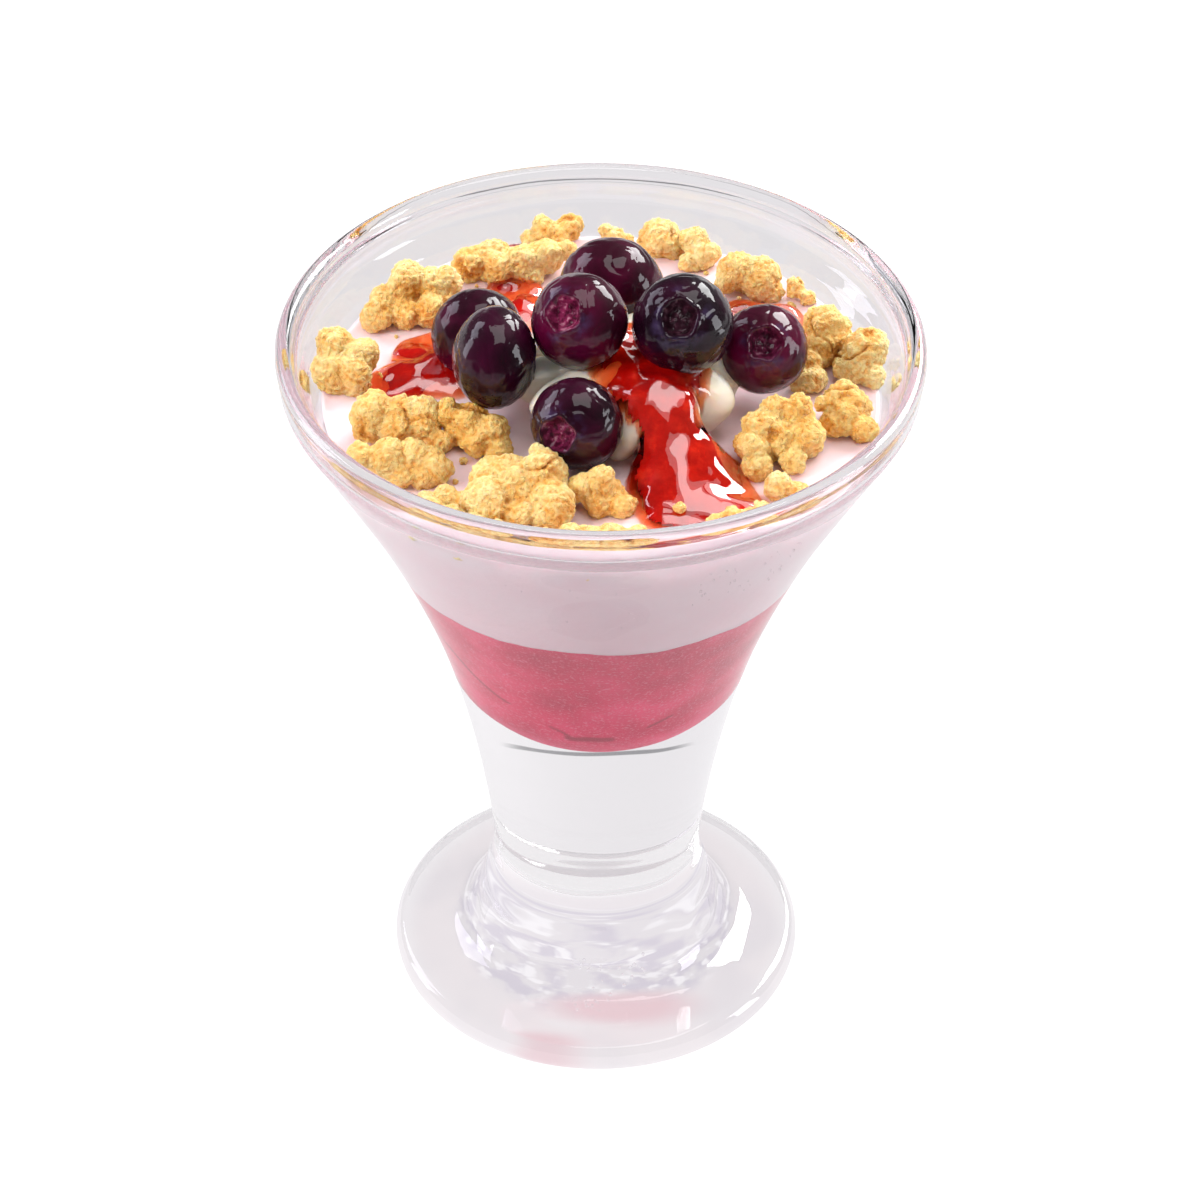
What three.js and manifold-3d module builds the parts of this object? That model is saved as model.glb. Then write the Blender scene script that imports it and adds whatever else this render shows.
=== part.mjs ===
// Ice cream sundae in its footed glass: a thick pressed-glass bowl on a solid stem and disc foot,
// filled with a pink sorbet layer and a pale yogurt layer, and topped with a piped rosette of
// whipped cream, seven dark berries and clumps of baked crumble.
// Millimetres, +Z up, origin at the centre of the foot's underside, -Y is the front.
import * as THREE from 'three';
import { mergeVertices } from 'three/addons/utils/BufferGeometryUtils.js';
import Module from 'manifold-3d';

const wasm = await Module();
wasm.setup();

// ---- driving dimensions -------------------------------------------------------------------
const GLASS_HEIGHT = 108.4;
const RIM_RADIUS = 44;
const BEAD_RADIUS = 1.17; // the rounded lip on top of the wall
const FOOT_RADIUS = 29.6;
const FOOT_EDGE_HEIGHT = 4.5;
const FOOT_EDGE_DEPTH = 1.7; // how far the rounded foot edge bulges
const WELL_FLOOR = 47.5; // bottom of the bowl's hollow above the solid stem
const LAYER_HEIGHT = 75.4; // where the sorbet ends and the yogurt begins
const FILL_HEIGHT = 98.8; // level top of the yogurt
const GAP = 0.3; // clearance between touching pieces
const TURN_SEGMENTS = 34; // facets round the glass

// Outer outline of the glass from the foot's shoulder up to the groove under the lip, [radius, z].
const FOOT_TOP = [[27.9, 4.5], [23, 4.8], [18.5, 5.3]];
const STEM_AND_BOWL = [
  [18, 6], [17.2, 9.5], [16.2, 14.5], [15.1, 18.6], [15.45, 27], [18.45, 44.5],
  [23.2, 61.8], [30.3, 79.2], [38.2, 94.3], [42.5, 101.9],
];
const LIP_BAND_OUTSIDE = [[43.2, 103.2], [43.45, 104.4], [43.5, 106]];

// Inner outline, from the well's floor up to the lip.
const WELL_WALL = [
  [3, 47.8], [7.2, 48.9], [12.2, 52.4], [15.3, 57.5], [19.2, 66], [26.3, 80], [37.5, 98.6], [40.1, 102.2],
];
const LIP_BAND_INSIDE = [[40.85, 103], [41.1, 104], [40.78, 106], [40.95, 106.6]];

// ---- outlines -----------------------------------------------------------------------------
const toPoints = (pairs) => pairs.map(([r, z]) => new THREE.Vector2(r, z));

function smoothLine(pairs, pieces) {
  return new THREE.SplineCurve(toPoints(pairs)).getPoints(pieces);
}

function arc(centreR, centreZ, radiusR, radiusZ, from, to, pieces) {
  const points = [];
  for (let i = 0; i <= pieces; i += 1) {
    const a = THREE.MathUtils.degToRad(from + ((to - from) * i) / pieces);
    points.push(new THREE.Vector2(centreR + radiusR * Math.cos(a), centreZ + radiusZ * Math.sin(a)));
  }
  return points;
}

const wellLine = [...smoothLine(WELL_WALL, 9), ...toPoints(LIP_BAND_INSIDE)];

function wellRadius(z) {
  const above = wellLine.findIndex((point) => point.y >= z);
  const [low, high] = [wellLine[above - 1], wellLine[above]];
  return low.x + ((high.x - low.x) * (z - low.y)) / (high.y - low.y);
}

// ---- solids -------------------------------------------------------------------------------
function toSolid(geometry) {
  geometry.deleteAttribute('normal');
  geometry.deleteAttribute('uv');
  const merged = mergeVertices(geometry, 1e-4);
  return new wasm.Manifold(new wasm.Mesh({
    numProp: 3,
    vertProperties: new Float32Array(merged.attributes.position.array),
    triVerts: new Uint32Array(merged.index.array),
  }));
}

function toGeometry(solid) {
  const { vertProperties, triVerts } = solid.getMesh();
  const geometry = new THREE.BufferGeometry();
  geometry.setAttribute('position', new THREE.BufferAttribute(new Float32Array(vertProperties), 3));
  geometry.setIndex(new THREE.BufferAttribute(new Uint32Array(triVerts), 1));
  geometry.computeVertexNormals();
  return geometry;
}

// A lathe runs round its own Y axis, so it is stood up to turn round Z.
function turned(outline, segments = TURN_SEGMENTS) {
  return toSolid(new THREE.LatheGeometry(outline, segments).rotateX(Math.PI / 2));
}

const onAxis = (z) => new THREE.Vector2(0, z);

const sundae = new THREE.Group();

function addPiece(name, solid, material) {
  const mesh = new THREE.Mesh(toGeometry(solid), material);
  mesh.name = name;
  sundae.add(mesh);
}

// ---- glass --------------------------------------------------------------------------------
// One pressed piece: disc foot, flared solid stem, bowl with a well, and a rounded lip on a
// short upright band.
function glassSolid() {
  const edgeMiddle = FOOT_EDGE_HEIGHT / 2;
  const beadR = RIM_RADIUS - BEAD_RADIUS;
  const beadZ = GLASS_HEIGHT - BEAD_RADIUS;
  const outline = [
    onAxis(0),
    ...arc(FOOT_RADIUS - FOOT_EDGE_DEPTH, edgeMiddle, FOOT_EDGE_DEPTH, edgeMiddle, -90, 90, 4),
    ...toPoints(FOOT_TOP.slice(1)),
    ...smoothLine(STEM_AND_BOWL, 12),
    ...toPoints(LIP_BAND_OUTSIDE),
    ...arc(beadR, beadZ, BEAD_RADIUS, BEAD_RADIUS, -45, 195, 4),
    ...wellLine.slice().reverse(),
    onAxis(WELL_FLOOR),
  ];
  return turned(outline);
}

// ---- what fills the glass -----------------------------------------------------------------
// A layer of the filling between two heights, standing clear of the glass wall all round.
function layerSolid(from, to) {
  const inner = wellLine.filter((point) => point.y > from + 1 && point.y < to - 1);
  const outline = [
    onAxis(from),
    new THREE.Vector2(wellRadius(from) - GAP, from),
    ...inner.map((point) => new THREE.Vector2(point.x - GAP, point.y)),
    new THREE.Vector2(wellRadius(to) - GAP, to),
    onAxis(to),
  ];
  return turned(outline);
}

// The free room above the yogurt, which the toppings are kept inside.
function toppingRoom() {
  const top = GLASS_HEIGHT + 20;
  const bottom = FILL_HEIGHT + GAP;
  const wall = wellLine.filter((point) => point.y > bottom && point.y < GLASS_HEIGHT);
  const narrowest = wellRadius(bottom) - GAP;
  const outline = [
    onAxis(bottom),
    new THREE.Vector2(narrowest, bottom),
    ...wall.map((point) => new THREE.Vector2(point.x - GAP, point.y)),
    new THREE.Vector2(wall.at(-1).x - GAP, top),
    onAxis(top),
  ];
  return turned(outline);
}

// ---- berries ------------------------------------------------------------------------------
// Each berry: centre, radius, how flat it is along its axis, and which way its crown faces.
const BERRIES = [
  { at: [1.3, 12.9, 107.5], radius: 7.3, flat: 0.9, crown: [0.1, 0.95, 0.1] },
  { at: [-16.7, 7.1, 103.9], radius: 6.4, flat: 0.92, crown: [-0.2, 0.9, -0.3] },
  { at: [-14.2, -5, 108.6], radius: 6.9, flat: 0.82, crown: [0.97, 0.1, -0.1] },
  { at: [-2.9, -2.6, 113], radius: 6.6, flat: 0.93, crown: [-0.37, -0.64, 0.67] },
  { at: [10.8, -3.8, 113.5], radius: 6.95, flat: 0.93, crown: [-0.09, -0.72, 0.68] },
  { at: [21.8, 0.1, 106.8], radius: 6.2, flat: 0.93, crown: [0, -0.71, 0.69] },
  { at: [-3.1, -15.6, 105.6], radius: 6.2, flat: 0.93, crown: [-0.44, -0.85, 0.29] },
];
const CROWN_SHARE = 0.36; // crown radius as a share of the berry's
const CROWN_DEPTH = 0.24;
const BERRY_SEGMENTS = 10;

// A ball with a shallow round crown sunk into its top pole.
function berrySolid(berry, grow = 0) {
  const radius = berry.radius + grow;
  const rimAngle = THREE.MathUtils.radToDeg(Math.acos(CROWN_SHARE));
  const body = arc(0, 0, radius, radius * berry.flat, -90, rimAngle, 7);
  const outline = grow > 0
    ? arc(0, 0, radius, radius * berry.flat, -90, 90, 8)
    : [
      ...body,
      new THREE.Vector2(radius * CROWN_SHARE * 0.6, radius * (berry.flat - CROWN_DEPTH)),
      onAxis(radius * (berry.flat - CROWN_DEPTH)),
    ];
  outline[0].x = 0;
  outline.at(-1).x = 0;
  const geometry = new THREE.LatheGeometry(outline, BERRY_SEGMENTS).rotateX(Math.PI / 2);
  const facing = new THREE.Vector3(...berry.crown).normalize();
  const turn = new THREE.Quaternion().setFromUnitVectors(new THREE.Vector3(0, 0, 1), facing);
  geometry.applyQuaternion(turn);
  geometry.translate(...berry.at);
  return toSolid(geometry);
}

// ---- whipped cream ------------------------------------------------------------------------
// A rosette piped through a star nozzle: a low dome with a ridge for each point of the star.
const CREAM = { at: [3.5, -1], radius: 16.5, height: 8.6, ridges: 8, ridgeDepth: 0.11 };

function creamSolid() {
  const outline = arc(0, 0, CREAM.radius, CREAM.height, 0, 90, 5);
  outline.at(-1).x = 0;
  const geometry = new THREE.LatheGeometry([onAxis(0), ...outline], CREAM.ridges * 4);
  geometry.rotateX(Math.PI / 2);
  const position = geometry.attributes.position;
  for (let i = 0; i < position.count; i += 1) {
    const angle = Math.atan2(position.getY(i), position.getX(i));
    const ridge = 1 - CREAM.ridgeDepth * (0.5 + 0.5 * Math.cos(angle * CREAM.ridges));
    position.setXY(i, position.getX(i) * ridge, position.getY(i) * ridge);
  }
  geometry.translate(CREAM.at[0], CREAM.at[1], FILL_HEIGHT + GAP);
  return toSolid(geometry);
}

// ---- crumble ------------------------------------------------------------------------------
// Clumps of baked crumble lying on the yogurt: middle, [length, width, height], and the turn of
// the length from the X axis in degrees.
const CLUMPS = [
  { at: [-7, 35.7], size: [8.4, 4.4, 3.7], turn: 3 },
  { at: [-12, 28.7], size: [17, 6.4, 4.7], turn: 4 },
  { at: [-26.2, 18.6], size: [13.5, 8.4, 6.5], turn: 14 },
  { at: [-34, 3.1], size: [7.6, 7.8, 6.3], turn: 0 },
  { at: [-27, -10.2], size: [12.4, 7.4, 6], turn: -8 },
  { at: [-15.6, -12.4], size: [8.8, 6, 5.6], turn: -28 },
  { at: [-26.2, -19], size: [13.2, 6, 5.2], turn: -5 },
  { at: [-20.7, -25], size: [6.8, 3.8, 2.8], turn: 0 },
  { at: [-10.5, -25.2], size: [12.8, 10, 7.1], turn: 0 },
  { at: [0.4, -24.9], size: [8, 5, 4.9], turn: -14 },
  { at: [23.8, -13.3], size: [10.8, 10.6, 7.3], turn: 8 },
  { at: [25, -22.2], size: [5.6, 3.8, 2.7], turn: -6 },
  { at: [33.4, -6.2], size: [6.6, 8, 5.3], turn: 24 },
  { at: [35.4, 5.6], size: [6, 7, 5.6], turn: -20 },
  { at: [31, 9], size: [5.8, 6.8, 6.8], turn: -30 },
  { at: [28.9, 3.2], size: [4, 4.4, 3.4], turn: 0 },
  { at: [20.6, 25.3], size: [9.6, 5, 4.9], turn: -16 },
  { at: [27.6, 23], size: [4, 2.8, 2.4], turn: -40 },
  { at: [7.7, 34.8], size: [6, 4.2, 4.1], turn: -10 },
  { at: [13.8, 32.2], size: [4.8, 5.4, 4.1], turn: -18 },
  { at: [2.4, 36.4], size: [3.9, 2.7, 2], turn: -15 },
  { at: [-0.5, -35.2], size: [16.8, 4.6, 4], turn: 0 },
  { at: [17.8, -30.4], size: [9, 4.2, 3.6], turn: 28 },
  { at: [-17.2, -31.6], size: [14.4, 4.2, 3.8], turn: -28 },
];
const LUMP_RADIUS = 3; // of the largest lumps that a clump is baked from
const LUMP_PITCH = 1.5; // widest distance between their middles, in radii, so that they merge
const LOWEST_LUMP = 0.62; // height of a low lump as a share of the clump's

// A number between 0 and 1 that looks random but is the same every time.
function uneven(seed) {
  const wave = Math.sin(seed * 12.9898) * 43758.5453;
  return wave - Math.floor(wave);
}

// One lump: a twenty-sided stone standing in the yogurt up to its own height.
function lumpShape(x, y, radius, height, seed) {
  const geometry = new THREE.IcosahedronGeometry(1);
  geometry.rotateX(seed * 1.3).rotateZ(seed * 2.1);
  geometry.scale(radius, radius, height / 2 + GAP);
  geometry.translate(x, y, height / 2);
  return geometry;
}

// Middles of a row of lumps that just fills a length.
function rowOfMiddles(length, radius) {
  const reach = length / 2 - radius;
  const count = Math.ceil((2 * reach) / (LUMP_PITCH * radius)) + 1;
  return Array.from({ length: count }, (_, i) => (count > 1 ? -reach + (2 * reach * i) / (count - 1) : 0));
}

// A clump is rows of lumps of uneven height, merged into one body.
function clumpSolid({ at, size, turn }, index) {
  const [length, width, height] = size;
  const radius = Math.min(LUMP_RADIUS, width / 2);
  let clump = null;
  rowOfMiddles(length, radius).forEach((x, column) => {
    rowOfMiddles(width, radius).forEach((y, row) => {
      const seed = 1 + index * 17 + column * 5 + row * 3;
      const share = LOWEST_LUMP + (1 - LOWEST_LUMP) * uneven(seed);
      const geometry = lumpShape(x, y, radius, height * share, seed);
      geometry.rotateZ(THREE.MathUtils.degToRad(turn));
      geometry.translate(at[0], at[1], FILL_HEIGHT + GAP);
      const lump = toSolid(geometry);
      clump = clump ? clump.add(lump) : lump;
    });
  });
  return clump;
}

// ---- the sundae ---------------------------------------------------------------------------
const clearGlass = new THREE.MeshStandardMaterial({
  color: 0xf1f3f5, roughness: 0.05, metalness: 0, transparent: true, opacity: 0.35,
});
const sorbetPink = new THREE.MeshStandardMaterial({ color: 0xd4708f, roughness: 0.6, metalness: 0 });
const yogurtLilac = new THREE.MeshStandardMaterial({ color: 0xf0dbe5, roughness: 0.4, metalness: 0 });
const creamWhite = new THREE.MeshStandardMaterial({ color: 0xf6efe0, roughness: 0.45, metalness: 0 });
const berryPurple = new THREE.MeshStandardMaterial({ color: 0x2b1226, roughness: 0.12, metalness: 0 });
const crumbleGold = new THREE.MeshStandardMaterial({ color: 0xe6b45c, roughness: 0.85, metalness: 0 });

const room = toppingRoom();
const grownBerries = BERRIES.map((berry) => berrySolid(berry, GAP + 0.15));
const clearOfBerries = (solid) => grownBerries.reduce((rest, berry) => rest.subtract(berry), solid);

addPiece('glass', glassSolid(), clearGlass);
addPiece('sorbet_layer', layerSolid(WELL_FLOOR + 1, LAYER_HEIGHT), sorbetPink);
addPiece('yogurt_layer', clearOfBerries(layerSolid(LAYER_HEIGHT + GAP, FILL_HEIGHT)), yogurtLilac);
addPiece('cream_rosette', clearOfBerries(creamSolid()), creamWhite);
BERRIES.forEach((berry, i) => addPiece(`berry_${i + 1}`, berrySolid(berry), berryPurple));
CLUMPS.forEach((clumpSizes, i) => {
  const clump = clearOfBerries(clumpSolid(clumpSizes, i).intersect(room));
  addPiece(`crumble_${i + 1}`, clump, crumbleGold);
});

export default sundae;
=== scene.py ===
# The looks of a berry and yogurt sundae in its footed glass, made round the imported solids.
# Sizes are in metres, +Z is up and -Y is the front.
import math
import random

import bmesh
import bpy
from mathutils import Matrix, Vector, bvhtree, noise


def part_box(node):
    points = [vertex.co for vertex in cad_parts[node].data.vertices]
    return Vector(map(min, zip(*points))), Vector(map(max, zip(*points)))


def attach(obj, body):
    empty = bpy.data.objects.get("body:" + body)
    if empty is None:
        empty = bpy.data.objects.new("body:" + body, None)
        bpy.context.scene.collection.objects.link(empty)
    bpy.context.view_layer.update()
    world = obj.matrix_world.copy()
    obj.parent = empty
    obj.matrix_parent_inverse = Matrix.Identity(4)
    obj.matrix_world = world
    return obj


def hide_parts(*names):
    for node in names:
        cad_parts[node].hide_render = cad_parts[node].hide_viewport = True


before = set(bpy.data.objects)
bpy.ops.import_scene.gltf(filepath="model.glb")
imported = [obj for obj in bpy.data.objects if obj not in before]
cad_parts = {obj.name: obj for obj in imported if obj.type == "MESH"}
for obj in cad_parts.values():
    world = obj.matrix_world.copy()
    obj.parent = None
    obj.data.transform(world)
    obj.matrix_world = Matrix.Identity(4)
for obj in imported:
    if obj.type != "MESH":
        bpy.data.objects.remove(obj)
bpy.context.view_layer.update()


# ---- studio --------------------------------------------------------------------------------
# A table-top food studio: the camera looks down on the sundae through a long lens, and a lit white
# table and a pale room surround it. Large soft boxes give the berries their reflections, and the
# table holds the soft pattern of light and shade that glass and sorbet cast under themselves.
MM = 0.001
camera_aim = Vector((0.16 * MM, 0, 63.6 * MM))
camera_distance = 649.7 * MM
camera_height_angle = math.radians(38.48)
camera_lean = math.radians(0.5)

camera_data = bpy.data.cameras.new("camera")
camera_data.lens = 139.16
camera_data.sensor_width = 36
camera_data.clip_start = 0.01
camera = bpy.data.objects.new("camera", camera_data)
bpy.context.scene.collection.objects.link(camera)
looking_back = Vector((0, -math.cos(camera_height_angle), math.sin(camera_height_angle)))
camera.matrix_world = (
    Matrix.Translation(camera_aim + camera_distance * looking_back)
    @ Matrix.Rotation(math.pi / 2 - camera_height_angle, 4, "X")
    @ Matrix.Rotation(camera_lean, 4, "Z")
)
bpy.context.scene.camera = camera
bpy.context.scene.view_settings.view_transform = "Standard"
# light goes back and forth many times inside the thick stem and the lip before it comes out
bpy.context.scene.cycles.max_bounces = 32
bpy.context.scene.cycles.transmission_bounces = 32
bpy.context.scene.cycles.glossy_bounces = 15

berries_middle = Vector((0, 0, 0.105))


def soft_box(name, way, distance, size, watts, tint=(1, 1, 1)):
    """A rectangular lamp some way off that faces the berries."""
    lamp = bpy.data.lights.new(name, "AREA")
    lamp.shape = "RECTANGLE"
    lamp.size, lamp.size_y = size
    lamp.energy = watts
    lamp.color = tint
    box = bpy.data.objects.new(name, lamp)
    bpy.context.scene.collection.objects.link(box)
    box.location = berries_middle + distance * Vector(way).normalized()
    box.rotation_euler = (box.location - berries_middle).to_track_quat("Z", "Y").to_euler()
    return box


soft_boxes = [
    # name, way to the lamp, distance, size, watts, tint, whether it lights things, whether they mirror it
    ("key_box", (0.54, 0.62, 0.55), 0.8, (0.50, 0.34), 8.0, (1, 1, 1), True, True),
    ("overhead_box", (0.12, 0.02, 1), 0.8, (0.6, 0.5), 3.2, (1, 0.98, 0.98), True, True),
    ("left_back_box", (-0.68, 0.45, 0.5), 0.9, (0.5, 0.42), 2.8, (0.88, 0.86, 1), True, True),
    ("left_fill", (-0.73, -0.34, 0.58), 0.8, (0.3, 0.3), 4.6, (1, 0.97, 0.95), True, False),
    ("right_strip", (0.98, -0.12, 0.05), 0.8, (0.22, 0.7), 3.4, (0.95, 0.95, 1), False, True),
    ("left_strip", (-0.95, 0.22, 0.2), 0.8, (0.26, 0.4), 1.4, (0.9, 0.88, 1), False, True),
]
for name, way, distance, size, watts, tint, lights, mirrored in soft_boxes:
    lamp = soft_box(name, way, distance, size, watts, tint)
    lamp.visible_diffuse = lights
    lamp.visible_glossy = mirrored
    lamp.visible_transmission = False

# Two large scrims that only the wet sauce mirrors give it its broad pale sheen.
sheen_scrims = [
    # name, way to the scrim, distance, size, watts
    ("overhead_scrim", (0.12, -0.02, 1), 0.8, (0.9, 0.7), 2.4),
    ("back_scrim", (0.25, 0.70, 0.66), 0.8, (0.56, 0.42), 2.0),
]
mirrors_scrims = bpy.data.collections.new("mirrors the scrims")
for name, way, distance, size, watts in sheen_scrims:
    scrim = soft_box(name, way, distance, size, watts)
    scrim.visible_diffuse = False
    scrim.visible_transmission = False
    scrim.light_linking.receiver_collection = mirrors_scrims


def mixed(tree, share, first, second):
    """A second colour over a first by a share. Each colour is three numbers or a socket."""
    mix = tree.nodes.new("ShaderNodeMix")
    mix.data_type = "RGBA"
    for name, value in (("Factor", share), ("A", first), ("B", second)):
        if isinstance(value, bpy.types.NodeSocket):
            tree.links.new(value, mix.inputs[name])
        else:
            mix.inputs[name].default_value = (*value, 1)
    return mix.outputs["Result"]


def past(tree, source, start, stop):
    """Rises smoothly from 0 to 1 while a value goes from start to stop."""
    rise = tree.nodes.new("ShaderNodeMapRange")
    rise.interpolation_type = "SMOOTHSTEP"
    rise.inputs["From Min"].default_value = start
    rise.inputs["From Max"].default_value = stop
    tree.links.new(source, rise.inputs["Value"])
    return rise.outputs["Result"]


# The room is pale along the horizon and dim overhead. Shiny things mirror a dim room between
# the soft boxes, and what is seen through the glass is the white sweep behind the table.
world = bpy.data.worlds.new("pale room")
world.use_nodes = True
room = world.node_tree
room_way = room.nodes.new("ShaderNodeTexCoord")
room_height = room.nodes.new("ShaderNodeSeparateXYZ")
room.links.new(room_way.outputs["Generated"], room_height.inputs["Vector"])


def room_tone(pale_up_to, dim_from, horizon, ceiling):
    """Colour of the room by the height of the way to it, as the sine of its angle."""
    return mixed(room, past(room, room_height.outputs["Z"], pale_up_to, dim_from), horizon, ceiling)


lit_room = room_tone(0.30, 0.62, (0.92, 0.93, 0.95), (0.12, 0.12, 0.12))
mirrored_room = room_tone(-0.2, 0.12, (0.92, 0.93, 0.95), (0.06, 0.06, 0.065))
seen_room = room_tone(0.80, 0.93, (0.90, 0.90, 0.92), (0.42, 0.34, 0.29))
room_path = room.nodes.new("ShaderNodeLightPath")
room_colour = mixed(room, room_path.outputs["Is Glossy Ray"], lit_room, mirrored_room)
room_colour = mixed(room, room_path.outputs["Is Transmission Ray"], room_colour, seen_room)
room.links.new(room_colour, room.nodes["Background"].inputs["Color"])
bpy.context.scene.world = world


def new_material(name, **sockets):
    """A material with one Principled shader, its sockets set by their names in lower case."""
    material = bpy.data.materials.new(name)
    material.use_nodes = True
    shader = material.node_tree.nodes["Principled BSDF"]
    for socket, value in sockets.items():
        wanted = socket.replace("_", " ").title().replace("Ior", "IOR")
        shader.inputs[wanted].default_value = value
    return material, material.node_tree, shader


def piece_from(shape, name, material, smooth=True):
    """Turns a bmesh into an object at the origin with one material."""
    mesh = bpy.data.meshes.new(name)
    shape.to_mesh(mesh)
    shape.free()
    for face in mesh.polygons:
        face.use_smooth = smooth
    piece = bpy.data.objects.new(name, mesh)
    bpy.context.scene.collection.objects.link(piece)
    mesh.materials.append(material)
    return piece


# The table is lit evenly. What it shows through the glass is soft spots of light under the boss
# and the foot, pink glows from the sorbet, and a band of shade that the glass bends into lines.
white_lit = (1.12, 1.12, 1.13)
white_mirrored = (0.86, 0.85, 0.86)
white_through_glass = (0.91, 0.895, 0.91)
boss_edge = (17 * MM, 21 * MM)
foot_edge = (25 * MM, 30 * MM)
shade_near = (114.5 * MM, 116 * MM)
shade_far = (119.5 * MM, 121 * MM)
shade_sides = (40 * MM, 65 * MM)
shade_grey = (0.24, 0.24, 0.25)
glow_pink = (0.80, 0.60, 0.64)
# a glow rises from nothing at the first share of its half width to its full pink at the second
glow_edge = (1.2, 0.4)
pink_glows = [
    # in millimetres: across, back, half the width and half the depth
    (4, -17, 12, 5), (-9, -25.5, 8, 3),
]
# the foot is wet underneath, so the table's top reaches just into it and leaves no air between
foot_wetting = 0.05 * MM

floor_white, floor_tree, floor_shader = new_material(
    "lit white table", base_color=(0.03, 0.03, 0.03, 1), roughness=0.7, emission_strength=1.0)
floor_place = floor_tree.nodes.new("ShaderNodeTexCoord").outputs["Object"]
floor_sides = floor_tree.nodes.new("ShaderNodeSeparateXYZ")
floor_tree.links.new(floor_place, floor_sides.inputs["Vector"])
floor_aside = floor_tree.nodes.new("ShaderNodeMath")
floor_aside.operation = "ABSOLUTE"
floor_tree.links.new(floor_sides.outputs["X"], floor_aside.inputs[0])


def distance_out(place):
    """Distance of a place on the floor from the middle."""
    length = floor_tree.nodes.new("ShaderNodeVectorMath")
    length.operation = "LENGTH"
    floor_tree.links.new(place, length.inputs[0])
    return length.outputs["Value"]


def floor_tones(source, edge, first, second):
    """A tone of the floor that gives way to a second one while a value crosses an edge."""
    return mixed(floor_tree, past(floor_tree, source, *edge), first, second)


def cloudy(scale, edge, between, spots):
    """Soft spots of light on the floor, scale in spots per metre."""
    clouds = floor_tree.nodes.new("ShaderNodeTexNoise")
    clouds.inputs["Scale"].default_value = scale
    floor_tree.links.new(floor_place, clouds.inputs["Vector"])
    return floor_tones(clouds.outputs["Fac"], edge, between, spots)


def glowing(across, back, wide, deep, around, glow):
    """An oval glow on the floor, in millimetres."""
    oval = floor_tree.nodes.new("ShaderNodeMapping")
    oval.vector_type = "TEXTURE"
    oval.inputs["Location"].default_value = (across * MM, back * MM, 0)
    oval.inputs["Scale"].default_value = (wide * MM, deep * MM, 1)
    floor_tree.links.new(floor_place, oval.inputs["Vector"])
    return floor_tones(distance_out(oval.outputs["Vector"]), glow_edge, around, glow)


under_boss = cloudy(240, (0.42, 0.62), (0.78, 0.75, 0.78), (0.66, 0.62, 0.70))
under_boss = cloudy(330, (0.52, 0.66), under_boss, (0.93, 0.91, 0.94))
under_foot = cloudy(70, (0.40, 0.65), (0.86, 0.81, 0.83), (0.80, 0.76, 0.79))
reach = distance_out(floor_place)
under_foot = floor_tones(reach, boss_edge, under_boss, under_foot)
for pink_glow in pink_glows:
    under_foot = glowing(*pink_glow, under_foot, glow_pink)
under_glass = floor_tones(reach, foot_edge, under_foot, white_through_glass)
shade = floor_tones(reach, shade_near, under_glass, shade_grey)
shade = floor_tones(floor_aside.outputs["Value"], shade_sides, shade, white_through_glass)
seen_floor = floor_tones(reach, shade_far, shade, white_through_glass)
floor_path = floor_tree.nodes.new("ShaderNodeLightPath")
floor_glow = mixed(floor_tree, floor_path.outputs["Is Glossy Ray"], white_lit, white_mirrored)
floor_glow = mixed(floor_tree, floor_path.outputs["Is Transmission Ray"], floor_glow, seen_floor)
floor_tree.links.new(floor_glow, floor_shader.inputs["Emission Color"])
floor_shape = bmesh.new()
bmesh.ops.create_grid(floor_shape, x_segments=2, y_segments=2, size=3)
bmesh.ops.translate(floor_shape, verts=floor_shape.verts, vec=(0, 0, foot_wetting))
floor = piece_from(floor_shape, "floor", floor_white, smooth=False)


# ---- glass ---------------------------------------------------------------------------------
# A pressed soda-lime dessert glass in one piece: disc foot, boss, solid flared stem, thick bowl
# and a fire-polished bead on a short upright band. Its outline is turned about the glass's axis,
# and the pressing leaves slight waves in the boss and the foot.
glass_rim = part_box("glass")[1]
rim_radius = glass_rim.x
glass_height = glass_rim.z
bead_radius = 1.17 * MM
foot_radius = 29.6 * MM
foot_edge_height = 4.5 * MM
foot_edge_depth = 1.7 * MM
rim_low = 102 * MM
boss_waves = 0.4 * MM
side_waves = 0.05 * MM
foot_waves = 0.16 * MM
# the outline's points as (radius, height) in millimetres
foot_top = [(24.5, 4.75), (22.4, 4.95), (20.9, 5.35), (19.8, 5.95)]
stem_and_bowl = [
    (18.9, 6.8), (17.9, 8.6), (17.1, 10.8), (16.2, 14.5), (15.1, 18.6), (15.45, 27), (18.45, 44.5),
    (23.2, 61.8), (30.3, 79.2), (38.2, 94.3), (42.5, 101.9),
]
lip_band_outside = [
    (42.9, 102.6), (43.2, 103.2), (43.38, 103.8), (43.45, 104.4), (43.48, 105.2), (43.5, 106),
]
well_wall = [
    (0, 47.5), (3, 47.8), (7.2, 48.9), (12.2, 52.4), (15.3, 57.5), (19.2, 66), (26.3, 80),
    (37.5, 98.6), (40.1, 102.2),
]
lip_band_inside = [
    (40.5, 102.6), (40.85, 103), (41.05, 103.5), (41.12, 104.1), (41.08, 104.8), (40.95, 105.4),
    (40.78, 106), (40.8, 106.3), (40.95, 106.6),
]


def in_metres(pairs):
    """Points of the outline from their radii and heights in millimetres."""
    return [Vector((r, 0, z)) * MM for r, z in pairs]


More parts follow.
